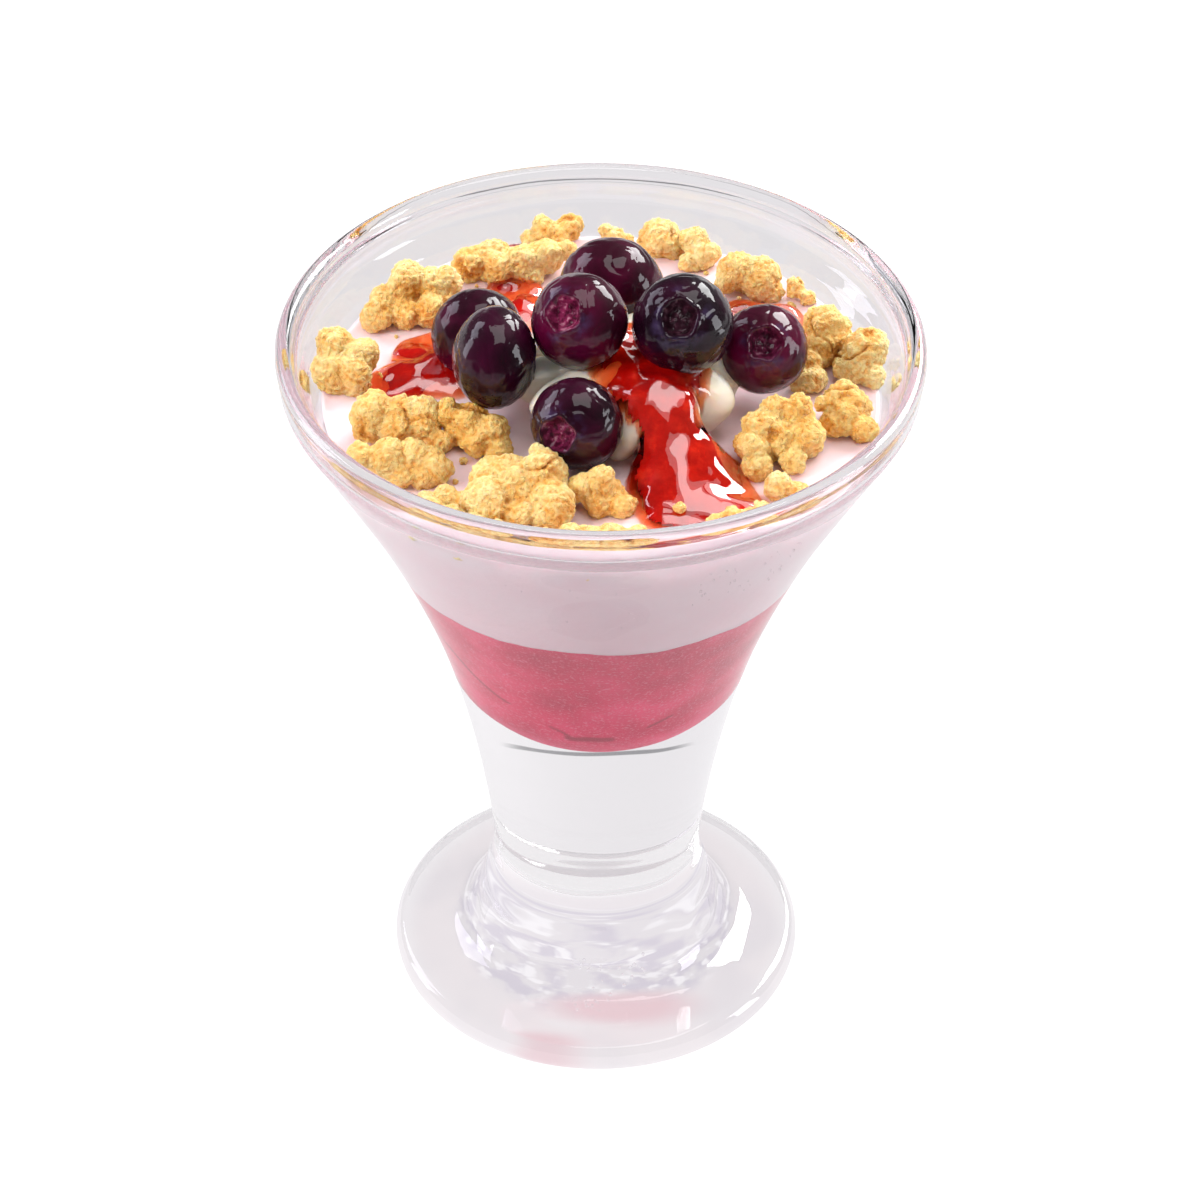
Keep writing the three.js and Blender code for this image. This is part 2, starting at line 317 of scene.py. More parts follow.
def smooth_line(knots, steps):
    """Points on a Catmull-Rom curve through the knots, with some steps between each two."""
    ends = [2 * knots[0] - knots[1]] + list(knots) + [2 * knots[-1] - knots[-2]]
    line = []
    for a, b, c, d in zip(ends, ends[1:], ends[2:], ends[3:]):
        for i in range(steps):
            t = i / steps
            line.append(0.5 * (2 * b + (c - a) * t + (2 * a - 5 * b + 4 * c - d) * t ** 2
                               + (3 * b - a - 3 * c + d) * t ** 3))
    return line + [Vector(knots[-1])]


def arc(centre_r, centre_z, radius_r, radius_z, start, stop, steps):
    """Points on part of an ellipse in the plane of the outline, angles in degrees."""
    turns = [math.radians(start + (stop - start) * i / steps) for i in range(steps + 1)]
    return [Vector((centre_r + radius_r * math.cos(turn), 0, centre_z + radius_z * math.sin(turn)))
            for turn in turns]


def turned(outline, steps=144):
    """A bmesh that the outline sweeps when it goes once round the glass's axis."""
    shape = bmesh.new()
    corners = [shape.verts.new(point) for point in outline]
    edges = [shape.edges.new(pair) for pair in zip(corners, corners[1:])]
    bmesh.ops.spin(shape, geom=corners + edges, cent=(0, 0, 0), axis=(0, 0, 1),
                   angle=2 * math.pi, steps=steps, use_merge=True)
    bmesh.ops.remove_doubles(shape, verts=shape.verts, dist=1e-6)
    bmesh.ops.recalc_face_normals(shape, faces=shape.faces)
    return shape


well_line = smooth_line(in_metres(well_wall), 6) + in_metres(lip_band_inside)
foot_line = arc(foot_radius - foot_edge_depth, foot_edge_height / 2, foot_edge_depth,
                foot_edge_height / 2, -90, 90, 20)
bead_line = arc(rim_radius - bead_radius, glass_height - bead_radius, bead_radius, bead_radius,
                -45, 195, 22)
glass_outline = (
    [Vector((0, 0, 0))] + foot_line + in_metres(foot_top)
    + smooth_line(in_metres(stem_and_bowl), 7) + in_metres(lip_band_outside) + bead_line
    + well_line[::-1]
)


def lets_lamps_through(tree, shader, tint):
    """Lamps shine through the material, because real glass throws their light on what it holds."""
    nodes, links = tree.nodes, tree.links
    path = nodes.new("ShaderNodeLightPath")
    clear = nodes.new("ShaderNodeBsdfTransparent")
    clear.inputs["Color"].default_value = tint
    mix = nodes.new("ShaderNodeMixShader")
    links.new(path.outputs["Is Shadow Ray"], mix.inputs[0])
    links.new(shader.outputs["BSDF"], mix.inputs[1])
    links.new(clear.outputs["BSDF"], mix.inputs[2])
    links.new(mix.outputs["Shader"], nodes["Material Output"].inputs["Surface"])


def colour_steps(tree, source, steps):
    """A colour ramp, steps as (place, colour), fed by a value."""
    ramp = tree.nodes.new("ShaderNodeValToRGB")
    points = ramp.color_ramp.elements
    while len(points) < len(steps):
        points.new(0.5)
    for point, (place, colour) in zip(points, steps):
        point.position = place
        point.color = (*colour, 1)
    tree.links.new(source, ramp.inputs["Fac"])
    return ramp.outputs["Color"]


def grain(tree, scale, detail=2.0, kind="Noise"):
    """The value of a noise or cell pattern on Object coordinates, scale in lumps per metre."""
    place = tree.nodes.new("ShaderNodeTexCoord")
    pattern = tree.nodes.new("ShaderNodeTex" + kind)
    pattern.inputs["Scale"].default_value = scale
    pattern.inputs["Detail"].default_value = detail
    tree.links.new(place.outputs["Object"], pattern.inputs["Vector"])
    return pattern.outputs["Distance" if kind == "Voronoi" else "Fac"]


def attribute(tree, name):
    """The value that each vertex of the piece holds under a name."""
    reader = tree.nodes.new("ShaderNodeAttribute")
    reader.attribute_name = name
    return reader.outputs["Fac"]


def product(tree, first, second):
    """Two values multiplied."""
    times = tree.nodes.new("ShaderNodeMath")
    times.operation = "MULTIPLY"
    tree.links.new(first, times.inputs[0])
    tree.links.new(second, times.inputs[1])
    return times.outputs["Value"]


def bumped(tree, shader, height, distance, socket="Normal"):
    """Adds fine unevenness to a surface from a value, distance in metres, less than 0 for pits."""
    bump = tree.nodes.new("ShaderNodeBump")
    bump.inputs["Distance"].default_value = abs(distance)
    bump.invert = distance < 0
    tree.links.new(height, bump.inputs["Height"])
    for link in shader.inputs[socket].links:
        tree.links.new(link.from_socket, bump.inputs["Normal"])
    tree.links.new(bump.outputs["Normal"], shader.inputs[socket])


clear_glass, glass_tree, glass_shader = new_material(
    "clear pressed glass", base_color=(0.80, 0.79, 0.80, 1), roughness=0.0,
    transmission_weight=1.0, ior=1.5)
lets_lamps_through(glass_tree, glass_shader, (0.94, 0.94, 0.95, 1))


def step_up(low, high, value):
    """Rises smoothly from 0 at low to 1 at high."""
    share = min(1, max(0, (value - low) / (high - low)))
    return share * share * (3 - 2 * share)


glass_shape = turned(glass_outline)
for vertex in glass_shape.verts:
    z = vertex.co.z / MM
    out = vertex.co.xy.length
    spot = Vector((vertex.co.x, vertex.co.y, 3 * vertex.co.z))
    on_boss = step_up(4.9, 7, z) * (1 - step_up(10, 17, z))
    if out > 15 * MM:
        vertex.co.xy *= 1 + (boss_waves * on_boss + side_waves) * noise.noise(spot * 120) / out
    if 4 < z < 6:
        vertex.co.z += foot_waves * noise.noise(spot * 100) * step_up(0, 4 * MM, foot_radius - out)
glass = piece_from(glass_shape, "footed_glass", clear_glass)
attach(glass, "root")
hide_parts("glass")


# ---- sorbet and yogurt ---------------------------------------------------------------------
# Two layers poured in one after the other and frozen against the wall: a grainy, slightly cracked
# raspberry sorbet in the well and a smooth pale yogurt above. Both reach just into the glass.
sorbet_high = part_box("sorbet_layer")[1]
yogurt_low, yogurt_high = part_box("yogurt_layer")
layer_height = (sorbet_high.z + yogurt_low.z) / 2
fill_height = yogurt_high.z
into_wall = 0.08 * MM
floor_gap = 0.15 * MM
layer_rows = 80
smear_height = 2.9 * MM
wall_creep = 0.5 * MM
creep_width = 1.6 * MM


def seam_height(angle):
    """Height of the line between the layers round the glass, highest at the front."""
    wave = noise.noise(Vector((math.cos(angle), math.sin(angle), 0)) * 2.2)
    ripple = noise.noise(Vector((math.cos(angle), math.sin(angle), 4)) * 9)
    return layer_height + (0.3 - 0.8 * math.sin(angle) + 0.5 * wave + 0.3 * ripple) * MM


def wall_radius(z):
    """Radius of the glass's inside at a height."""
    for low, high in zip(well_line, well_line[1:]):
        if low.z <= z <= high.z:
            return low.x + (high.x - low.x) * (z - low.z) / (high.z - low.z)
    return well_line[-1].x


def filling(bottom, top, inner_rings=0, steps=144):
    """A body that fills the glass between two heights, with rings on its top for a relief."""
    heights = [bottom + (top - bottom) * row / layer_rows for row in range(layer_rows + 1)]
    wall = [Vector((wall_radius(z) + into_wall, 0, z)) for z in heights]
    lid = [Vector((wall[-1].x * i / (inner_rings + 1), 0, top)) for i in range(inner_rings, 0, -1)]
    return turned([Vector((0, 0, bottom))] + wall + lid + [Vector((0, 0, top))], steps)


def fit_to_wall(vertex, z):
    """Moves a vertex on the side of a filling to another height, along the wall."""
    angle = math.atan2(vertex.co.y, vertex.co.x)
    radius = wall_radius(z) + into_wall
    vertex.co = (radius * math.cos(angle), radius * math.sin(angle), z)


def on_side(vertex):
    """Whether a vertex of a filling lies against the wall."""
    return vertex.co.xy.length > wall_radius(vertex.co.z) - 0.01 * MM


def from_line(place, start, end):
    """Distance of a place from a straight line between two points."""
    line = end - start
    along = min(1, max(0, (place - start).dot(line) / line.length_squared))
    return (place - start - line * along).length


# along the well's wall, a degree round the glass is about this many millimetres
degree_width = 0.24
sorbet_cracks = [
    # both ends as (degrees round the glass, millimetres up), and half the width in millimetres
    ((-158, 66), (-142, 60.5), 0.4), ((-142, 60.5), (-130, 59), 0.35), ((-112, 55.6), (-104, 54), 0.35),
    ((-104, 53.4), (-84, 53.4), 0.9), ((-66, 55.6), (-56, 57), 0.35),
]
sorbet_floor = well_line[0].z + floor_gap
sorbet_shape = filling(sorbet_floor, layer_height, steps=360)
cracked = sorbet_shape.verts.layers.float.new("crack")
for vertex in sorbet_shape.verts:
    angle = math.atan2(vertex.co.y, vertex.co.x)
    share = (vertex.co.z - sorbet_floor) / (layer_height - sorbet_floor)
    if on_side(vertex):
        fit_to_wall(vertex, sorbet_floor + (seam_height(angle) - sorbet_floor) * share)
    wander = 0.5 * noise.noise(vertex.co * 400)
    spot = Vector((math.degrees(angle) * degree_width, vertex.co.z / MM + wander))
    for first, last, width in sorbet_cracks:
        start, end = (Vector((turn * degree_width, z)) for turn, z in (first, last))
        vertex[cracked] = max(vertex[cracked], 1 - step_up(0.4 * width, width, from_line(spot, start, end)))
sorbet_pink, sorbet_tree, sorbet_shader = new_material(
    "raspberry sorbet", roughness=0.55, subsurface_weight=0.25, subsurface_scale=1.0)
sorbet_shader.inputs["Subsurface Radius"].default_value = (2.2 * MM, 0.8 * MM, 0.9 * MM)
purees = colour_steps(sorbet_tree, grain(sorbet_tree, 110, 3), [
    (0.3, (0.57, 0.010, 0.07)), (0.5, (0.74, 0.018, 0.10)), (0.72, (0.92, 0.055, 0.175))])
frost = colour_steps(sorbet_tree, grain(sorbet_tree, 2600, 1), [
    (0.54, (0, 0, 0)), (0.7, (0.36, 0.36, 0.36))])
frosty = mixed(sorbet_tree, frost, purees, (0.90, 0.36, 0.46))
sorbet_colour = mixed(sorbet_tree, attribute(sorbet_tree, "crack"), frosty, (0.42, 0.006, 0.045))
sorbet_tree.links.new(sorbet_colour, sorbet_shader.inputs["Base Color"])
bumped(sorbet_tree, sorbet_shader, grain(sorbet_tree, 1800, 2), 0.1 * MM)
sorbet = piece_from(sorbet_shape, "sorbet", sorbet_pink)
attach(sorbet, "root")
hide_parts("sorbet_layer")

yogurt_shape = filling(layer_height, fill_height, inner_rings=70)
for vertex in yogurt_shape.verts:
    angle = math.atan2(vertex.co.y, vertex.co.x)
    share = (vertex.co.z - layer_height) / (fill_height - layer_height)
    if on_side(vertex):
        seam = seam_height(angle)
        in_front = step_up(0.55, 0.9, -math.sin(angle))
        smear = (smear_height + 0.5 * MM * noise.noise(Vector((angle * 3, 0, 0)))) * in_front
        fit_to_wall(vertex, seam + (fill_height + smear - seam) * share)
    if share > 0.99:
        swell = (0.35 * noise.noise(vertex.co * 130) + 0.06 * noise.noise(vertex.co * 420)) * MM
        from_wall = wall_radius(fill_height) - vertex.co.xy.length
        vertex.co.z += swell + wall_creep * max(0, 1 - from_wall / creep_width) ** 2
yogurt_lilac, yogurt_tree, yogurt_shader = new_material(
    "pale berry yogurt", roughness=0.36, subsurface_weight=0.35, subsurface_scale=1.0,
    coat_weight=0.25, coat_roughness=0.2)
yogurt_shader.inputs["Subsurface Radius"].default_value = (2.5 * MM, 1.6 * MM, 1.8 * MM)
yogurt_colour = colour_steps(yogurt_tree, grain(yogurt_tree, 70, 3), [
    (0.3, (0.88, 0.67, 0.72)), (0.7, (0.91, 0.74, 0.78))])
yogurt_tree.links.new(yogurt_colour, yogurt_shader.inputs["Base Color"])
bumped(yogurt_tree, yogurt_shader, grain(yogurt_tree, 500, 3), 0.12 * MM)
yogurt = piece_from(yogurt_shape, "yogurt", yogurt_lilac)
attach(yogurt, "root")
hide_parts("yogurt_layer")


# ---- whipped cream -------------------------------------------------------------------------
# A rosette of whipped cream squeezed out of a star nozzle: round lobes with sharp grooves between
# them lean over as the nozzle turns, and close over a soft top that the berries press into.
cream_low, cream_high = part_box("cream_rosette")
cream_middle = (cream_low + cream_high) / 2
# the lobes are drawn a little full, because the grooves and the soft swell take some off
cream_radius = 1.03 * (cream_high.x - cream_low.x) / 2
cream_rise = cream_high.z - cream_low.z
cream_outline = [
    # shares of the radius and of the height
    (0.82, -0.04), (0.90, 0.16), (1.0, 0.42), (1.03, 0.62), (0.93, 0.84), (0.66, 0.97), (0.33, 1.02),
    (0.02, 1.02),
]
cream_lobes = 13
cream_groove = 0.42
cream_lean = math.radians(14)
# the lobes lean to either side of their place at this share of the height
lean_middle = 0.4
first_lobe = math.radians(-33)


def rubbed(shape, times):
    """Rubs a shape smooth, a little each time."""
    for rub in range(times):
        bmesh.ops.smooth_vert(shape, verts=shape.verts, factor=0.5,
                              use_axis_x=True, use_axis_y=True, use_axis_z=True)


cream_side = smooth_line([Vector((share * cream_radius, 0, cream_low.z + rise * cream_rise))
                          for share, rise in cream_outline], 12)
cream_shape = bmesh.new()
bmesh.ops.create_grid(cream_shape, x_segments=260, y_segments=len(cream_side) - 1, size=0.5)
for vertex in cream_shape.verts:
    row = round((vertex.co.y + 0.5) * (len(cream_side) - 1))
    side = cream_side[row]
    around = 2 * math.pi * vertex.co.x
    up = (side.z - cream_low.z) / cream_rise
    across_lobe = cream_lobes / 2 * (around - first_lobe - cream_lean * (up - lean_middle))
    closing = min(1, side.x / (0.5 * cream_radius))
    groove = cream_groove * (1 - math.sqrt(abs(math.cos(across_lobe)))) * closing
    spot = Vector((math.cos(around), math.sin(around), 0)) * side.x + Vector((0, 0, side.z))
    swell = 1 + 0.07 * noise.noise(spot * 120) + 0.025 * noise.noise(spot * 380)
    out = side.x * (1 - groove) * swell
    vertex.co = (cream_middle.x + out * math.cos(around), cream_middle.y + out * math.sin(around),
                 side.z + 0.35 * MM * noise.noise(spot * 260))
bmesh.ops.remove_doubles(cream_shape, verts=cream_shape.verts, dist=0.02 * MM)
rubbed(cream_shape, 1)
cream_ends = [edge for edge in cream_shape.edges if edge.is_boundary]
bmesh.ops.holes_fill(cream_shape, edges=cream_ends, sides=0)
bmesh.ops.recalc_face_normals(cream_shape, faces=cream_shape.faces)
whipped_cream, cream_tree, cream_shader = new_material(
    "whipped cream", roughness=0.42, subsurface_weight=0.4, subsurface_scale=1.0,
    coat_weight=0.2, coat_roughness=0.25)
cream_shader.inputs["Subsurface Radius"].default_value = (2 * MM, 1.5 * MM, 0.9 * MM)
cream_colour = colour_steps(cream_tree, grain(cream_tree, 160, 3), [
    (0.3, (0.98, 0.87, 0.69)), (0.65, (1.0, 0.94, 0.83))])
cream_tree.links.new(cream_colour, cream_shader.inputs["Base Color"])
bumped(cream_tree, cream_shader, grain(cream_tree, 900, 3), 0.1 * MM)
cream = piece_from(cream_shape, "whipped_cream", whipped_cream)
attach(cream, "root")
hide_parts("cream_rosette")


# ---- berries -------------------------------------------------------------------------------
# Seven dark berries steeped in syrup. Each is a slightly flattened ball with a round crown: a
# steep pit inside a thin ragged lip, with a haze of wax round it. The skin is taut and glazed.
berry_forms = [
    # flatness along the crown's axis, the way the crown faces, redness of the skin, of the pit
    (0.90, (0.1, 0.95, 0.1), 0.6, 0.5),
    (0.92, (-0.2, 0.9, -0.3), 0.35, 0.3),
    (0.82, (0.97, 0.1, -0.1), 0.1, 0.2),
    (0.93, (-0.37, -0.64, 0.67), 0.6, 1.0),
    (0.93, (-0.09, -0.72, 0.68), 0.0, 0.0),
    (0.93, (0, -0.71, 0.69), 1.0, 0.55),
    (0.93, (-0.44, -0.85, 0.29), 0.15, 0.7),
]
# the crown's half width in radians, and its depth and its lip's height as shares of the radius
crown_angle = 0.41
crown_depth = 0.27
lip_height = 0.028
# draws the mesh's rings together towards the crown, where the form is finest
ring_crowding = 1.45


def berry_shape(radius, flatness, seed):
    """A berry with its crown up, its vertices marked with how far they lie in the pit and the wax."""
    shape = bmesh.new()
    bmesh.ops.create_uvsphere(shape, u_segments=140, v_segments=110, radius=1)
    in_pit = shape.verts.layers.float.new("pit")
    in_wax = shape.verts.layers.float.new("wax")
    for vertex in shape.verts:
        way = vertex.co.normalized()
        polar = math.pi * (math.acos(max(-1, min(1, way.z))) / math.pi) ** ring_crowding
        around = math.atan2(way.y, way.x)
        side = math.sin(polar)
        way = Vector((side * math.cos(around), side * math.sin(around), math.cos(polar)))
        spot = way + Vector((seed * 3.7, seed * 1.9, seed))
        ragged = 1 + 0.05 * math.cos(5 * around + seed) + 0.10 * noise.noise(spot * 3)
        out = polar / (crown_angle * ragged)
        inside = 1 - step_up(0.7, 0.98, out)
        folds = 0.06 * math.cos(5 * around + seed) * min(1, out / 0.5) + 0.10 * noise.noise(spot * 9)
        pit = crown_depth * inside * (1 + folds)
        lip = lip_height * math.exp(-((out - 1.03) / 0.09) ** 2) * (0.7 + 0.9 * noise.noise(spot * 11))
        dents = 0.026 * noise.noise(spot * 1.6) + 0.006 * noise.noise(spot * 5)
        crease = -0.012 * max(0, 0.2 - abs(noise.noise(spot * 2.2 + Vector((9, 0, 0))))) / 0.2
        vertex.co = way * (radius * (1 - pit + lip + dents + crease))
        vertex.co.z *= flatness
        vertex[in_pit] = 1 - step_up(0.86, 1.0, out)
        vertex[in_wax] = math.exp(-((out - 1.25) / 0.32) ** 2)
    return shape


def berry_skin(name, redness, pit_redness):
    """Dark skin under a coat of syrup, redder where the juice shows, waxy round the crown."""
    material, tree, shader = new_material(
        name, roughness=0.5, coat_weight=1.0, coat_roughness=0.02, coat_ior=1.36, specular_ior_level=0.05)
    dark = (0.007 + 0.03 * redness, 0.0006, 0.004 + 0.005 * redness)
    juicy = (0.026 + 0.09 * redness, 0.001, 0.012 + 0.018 * redness)
    skin = colour_steps(tree, grain(tree, 170, 3), [(0.4, dark), (0.72, juicy)])
    haze = colour_steps(tree, grain(tree, 420, 4), [(0.46, (0, 0, 0)), (0.68, (0.75, 0.75, 0.75))])
    skin = mixed(tree, product(tree, attribute(tree, "wax"), haze), skin, (0.05, 0.03, 0.085))
    flesh = colour_steps(tree, grain(tree, 1100, 3), [
        (0.4, (0.012 + 0.05 * pit_redness, 0.003, 0.006 + 0.012 * pit_redness)),
        (0.58, (0.03 + 0.19 * pit_redness, 0.006 + 0.012 * pit_redness, 0.014 + 0.06 * pit_redness)),
        (0.76, (0.12 + 0.45 * pit_redness, 0.06 + 0.2 * pit_redness, 0.08 + 0.27 * pit_redness))])
    tree.links.new(mixed(tree, attribute(tree, "pit"), skin, flesh), shader.inputs["Base Color"])
    bumped(tree, shader, grain(tree, 800, 4), 0.05 * MM)
    bumped(tree, shader, grain(tree, 420, 3), 0.09 * MM, socket="Coat Normal")
    return material


berries = []
for number, (flatness, crown_way, redness, pit_redness) in enumerate(berry_forms, start=1):
    low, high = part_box(f"berry_{number}")
    radius = max(high - low) / 2 * 1.015
    shape = berry_shape(radius, flatness, seed=number)
    turn = Vector((0, 0, 1)).rotation_difference(Vector(crown_way))
    bmesh.ops.transform(shape, verts=shape.verts,
                        matrix=Matrix.Translation((low + high) / 2) @ turn.to_matrix().to_4x4())
    skin = berry_skin(f"berry skin {number}", redness, pit_redness)
    berry = piece_from(shape, f"dark_berry_{number}", skin)
    berries.append(berry)
    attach(berry, "root")
    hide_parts(f"berry_{number}")


# ---- berry sauce ---------------------------------------------------------------------------
# Clear red berry sauce spooned over the cream and the yogurt. It lies as a wet sheet wherever it
# was poured: it bridges the cream's grooves, creeps up the berries and ends in a round edge.
main_flow = [
    # its shore in millimetres, from the cream down to the wall and back
    (-3, -3), (-1, -8), (0.5, -13), (3.2, -17.5), (3.2, -21), (4.2, -25), (5.4, -28.6), (7.6, -30.6),
    (10.8, -30.9), (14.8, -31.3), (18.3, -30.6), (22, -29.2), (25.6, -27.6), (24.2, -25.8), (22.6, -24),
    (21, -21.6), (19.7, -18.4), (18.8, -15), (17, -13.2), (14.9, -12), (14.6, -8), (15, -4.5), (13, -1),
    (8, 4), (2, 4),
]
small_pools = [
    # strokes of the spoon in millimetres: start, end, and how far the sauce spread to each side
    ((-29.5, 1), (-25, 7), 5.2), ((-27, 2), (-20, 2), 5.2), ((-26, 10), (-21, 12.5), 4),
    ((-20, 8), (-14, 10), 6.5), ((-16, 20), (-7, 19), 6.5), ((-14, 25), (-10, 24.5), 3),
    ((-16, 33.5), (-11, 34), 2.6),
    ((19, 20), (25.5, 18), 4.6), ((21, 12), (27, 12), 5), ((27.5, 15), (29, 16.5), 2.6),
]
sauce_heaps = [
    # where the sauce is heaped up, in millimetres: across, back, how high and how wide
    (9, -17, 2.4, 6), (-25, 5, 0.8, 4),
]
sauce_depth = 1.5 * MM
bead_width = 2.4 * MM
sauce_cell = 0.36 * MM
sauce_reach = 38 * MM
creep_height = 1.1 * MM
sauce_sinking = 0.5 * MM
# the pools' shore is where their strokes' cover adds up to this, and how fast it grows inside
pool_shore = 0.33
pool_slope = 0.55
settling_rounds = 160
settling_pace = 1.6
flow_points = [Vector(point) * MM for point in main_flow]
flow_sides = list(zip(flow_points, flow_points[1:] + flow_points[:1]))


def inside_flow(place):
    """Distance from the shore of the main flow, less than 0 outside it."""
    nearest = min(from_line(place, start, end) for start, end in flow_sides)
    crossings = 0
    for start, end in flow_sides:
        if (start.y > place.y) != (end.y > place.y):
            crossings += place.x < start.x + (end.x - start.x) * (place.y - start.y) / (end.y - start.y)
    return nearest if crossings % 2 else -nearest


def inside_pools(place):
    """About the distance from the shore of the small pools, less than 0 outside them."""
    cover = 0
    for start, end, spread in small_pools:
        away = from_line(place, Vector(start) * MM, Vector(end) * MM) / (spread * MM)
        cover += max(0, 1 - away ** 2) ** 2
    return (cover - pool_shore) / pool_slope * bead_width


def from_shore(x, y):
    """How far inside the sauce a place is, with a ragged shore."""
    place = Vector((x, y))
    ragged = 0.7 * noise.noise(Vector((x, y, 0)) * 260) + 0.06 * noise.noise(Vector((x, y, 3)) * 900)
    return max(inside_flow(place), inside_pools(place)) + ragged * MM


def plumb_tree(*pieces):
    """What a plumb line dropped on these pieces meets."""
    joined = bmesh.new()
    for piece in pieces:
        joined.from_mesh(piece.data)
    tree = bvhtree.BVHTree.FromBMesh(joined)
    joined.free()
    return tree


def height_on(tree, x, y):
    """Height of what a plumb line meets, or the yogurt's top where it meets nothing."""
    hit = tree.ray_cast(Vector((x, y, 0.2)), Vector((0, 0, -1)))[0]
    return hit.z if hit else fill_height


def sauce_grid():
    """A flat grid over the whole top of the sundae."""
    shape = bmesh.new()
    cells = int(2 * sauce_reach / sauce_cell)
    bmesh.ops.create_grid(shape, x_segments=cells, y_segments=cells, size=sauce_reach)
    return shape


under_sauce = plumb_tree(yogurt, cream)
berry_balls = [(sum((Vector(corner) for corner in berry.bound_box), Vector()) / 8,
                max(berry.dimensions) / 2) for berry in berries]
sauce_shape = sauce_grid()
shore = {vertex: from_shore(vertex.co.x, vertex.co.y) for vertex in sauce_shape.verts}
sauce_limit = wall_radius(fill_height) - 0.4 * MM
outside = [vertex for vertex in sauce_shape.verts
           if shore[vertex] < -1.5 * sauce_cell or vertex.co.length > sauce_limit]
for vertex in outside:
    del shore[vertex]
bmesh.ops.delete(sauce_shape, geom=outside, context="VERTS")
ground = {vertex: height_on(under_sauce, vertex.co.x, vertex.co.y) for vertex in sauce_shape.verts}
neighbours = {vertex: [edge.other_vert(vertex) for edge in vertex.link_edges]
              for vertex in sauce_shape.verts}
settled = dict(ground)
for settling in range(settling_rounds):
    for vertex, around in neighbours.items():
        if shore[vertex] > 0:
            middling = sum(settled[other] for other in around) / len(around)
            eased = settled[vertex] + settling_pace * (middling - settled[vertex])
            settled[vertex] = max(ground[vertex], eased)
# near its shore the sauce can't cling where the cream falls away steeply
cliffs = [vertex for vertex, around in neighbours.items() if shore[vertex] < 1.8 * MM
          and max(abs(settled[vertex] - settled[other]) for other in around) > 1.7 * sauce_cell]
for vertex in cliffs:
    del shore[vertex]
bmesh.ops.delete(sauce_shape, geom=cliffs, context="VERTS")


def sauce_depth_at(vertex):
    """Depth of the sauce: round at its edge, then level, with a creep up each berry."""
    inward = shore[vertex] / bead_width
    if inward < 0:
        return sauce_depth * inward
    bead = math.sqrt(1 - (1 - min(1, inward)) ** 2)
    swell = 0.8 + 0.4 * noise.noise(vertex.co * 130) + 0.35 * noise.noise(vertex.co * 330)
    place = Vector((vertex.co.x, vertex.co.y, settled[vertex]))
    gap = min(max(0, (place - heart).length - size) for heart, size in berry_balls)
    heaped = 0
    for across, back, height, width in sauce_heaps:
        away = (place.x / MM - across) ** 2 + (place.y / MM - back) ** 2
        heaped += height * MM * math.exp(-away / (2 * width ** 2))
    heaped *= step_up(0, 2.2, inward)
    return sauce_depth * bead * swell + heaped + creep_height * math.exp(-gap / creep_height) * bead


lifted = bmesh.ops.extrude_face_region(sauce_shape, geom=list(sauce_shape.faces), use_keep_orig=True)
sauce_top = [part for part in lifted["geom"] if isinstance(part, bmesh.types.BMVert)]
by_place = {(round(vertex.co.x, 7), round(vertex.co.y, 7)): vertex for vertex in shore}
for vertex in sauce_top:
    source = by_place[(round(vertex.co.x, 7), round(vertex.co.y, 7))]
    vertex.co.z = settled[source] + sauce_depth_at(source)
for vertex in shore:
    vertex.co.z = ground[vertex] - sauce_sinking
rubbed(sauce_shape, 4)
bmesh.ops.recalc_face_normals(sauce_shape, faces=sauce_shape.faces)

sauce_red, sauce_tree, sauce_shader = new_material(
    "clear berry sauce", base_color=(1, 1, 1, 1), roughness=0.03, transmission_weight=1.0, ior=1.42,
    coat_weight=1.0, coat_roughness=0.03, coat_ior=1.6)
juice = sauce_tree.nodes.new("ShaderNodeVolumeAbsorption")
juice.inputs["Color"].default_value = (0.90, 0.42, 0.08, 1)
juice.inputs["Density"].default_value = 1300
sauce_tree.links.new(juice.outputs["Volume"], sauce_tree.nodes["Material Output"].inputs["Volume"])
for surface in ("Normal", "Coat Normal"):
    bumped(sauce_tree, sauce_shader, grain(sauce_tree, 260, 2), 0.12 * MM, socket=surface)
lets_lamps_through(sauce_tree, sauce_shader, (1, 1, 1, 1))
sauce = piece_from(sauce_shape, "berry_sauce", sauce_red)
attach(sauce, "root")
mirrors_scrims.objects.link(sauce)


# ---- fruit pulp ----------------------------------------------------------------------------
# Soft crushed fruit that has sunk in the sauce and colours it from below. It lies a little under
# the clear surface wherever the sauce is deep, with a few lumps of fruit that stand up into it.
pulp_cover = 1.5 * MM
pulp_steepest = 0.9 * MM
pulp_lumps = [
    # in millimetres: across, back, how high and how wide
    (4.5, -9.5, 0.9, 1.2), (4.2, -13.5, 0.9, 1.0), (8.5, -11, 0.5, 1.3), (12, -24, 0.5, 1.6),
    (7, -22, 0.6, 1.1),
]
pulp_shape = sauce_grid()
sauce_skin = plumb_tree(sauce)
pulp_gone = []
for vertex in pulp_shape.verts:
    x, y = vertex.co.xy
    below = height_on(under_sauce, x, y)
    surface = height_on(sauce_skin, x, y)
    lump = sum(high * math.exp(-((x / MM - across) ** 2 + (y / MM - back) ** 2) / wide ** 2)
               for across, back, high, wide in pulp_lumps)
    grit = 0.25 * noise.noise(Vector((x, y, 1)) * 600) + 0.35 * noise.noise(Vector((x, y, 2)) * 220)
    vertex.co.z = min(surface - pulp_cover + (lump + grit) * MM, surface - 0.15 * MM)
    slope = height_on(sauce_skin, x + sauce_cell, y) - height_on(sauce_skin, x - sauce_cell, y)
    if from_shore(x, y) < 1.5 * MM or vertex.co.z < below - 0.3 * MM or abs(slope) > pulp_steepest:
        pulp_gone.append(vertex)
bmesh.ops.delete(pulp_shape, geom=pulp_gone, context="VERTS")
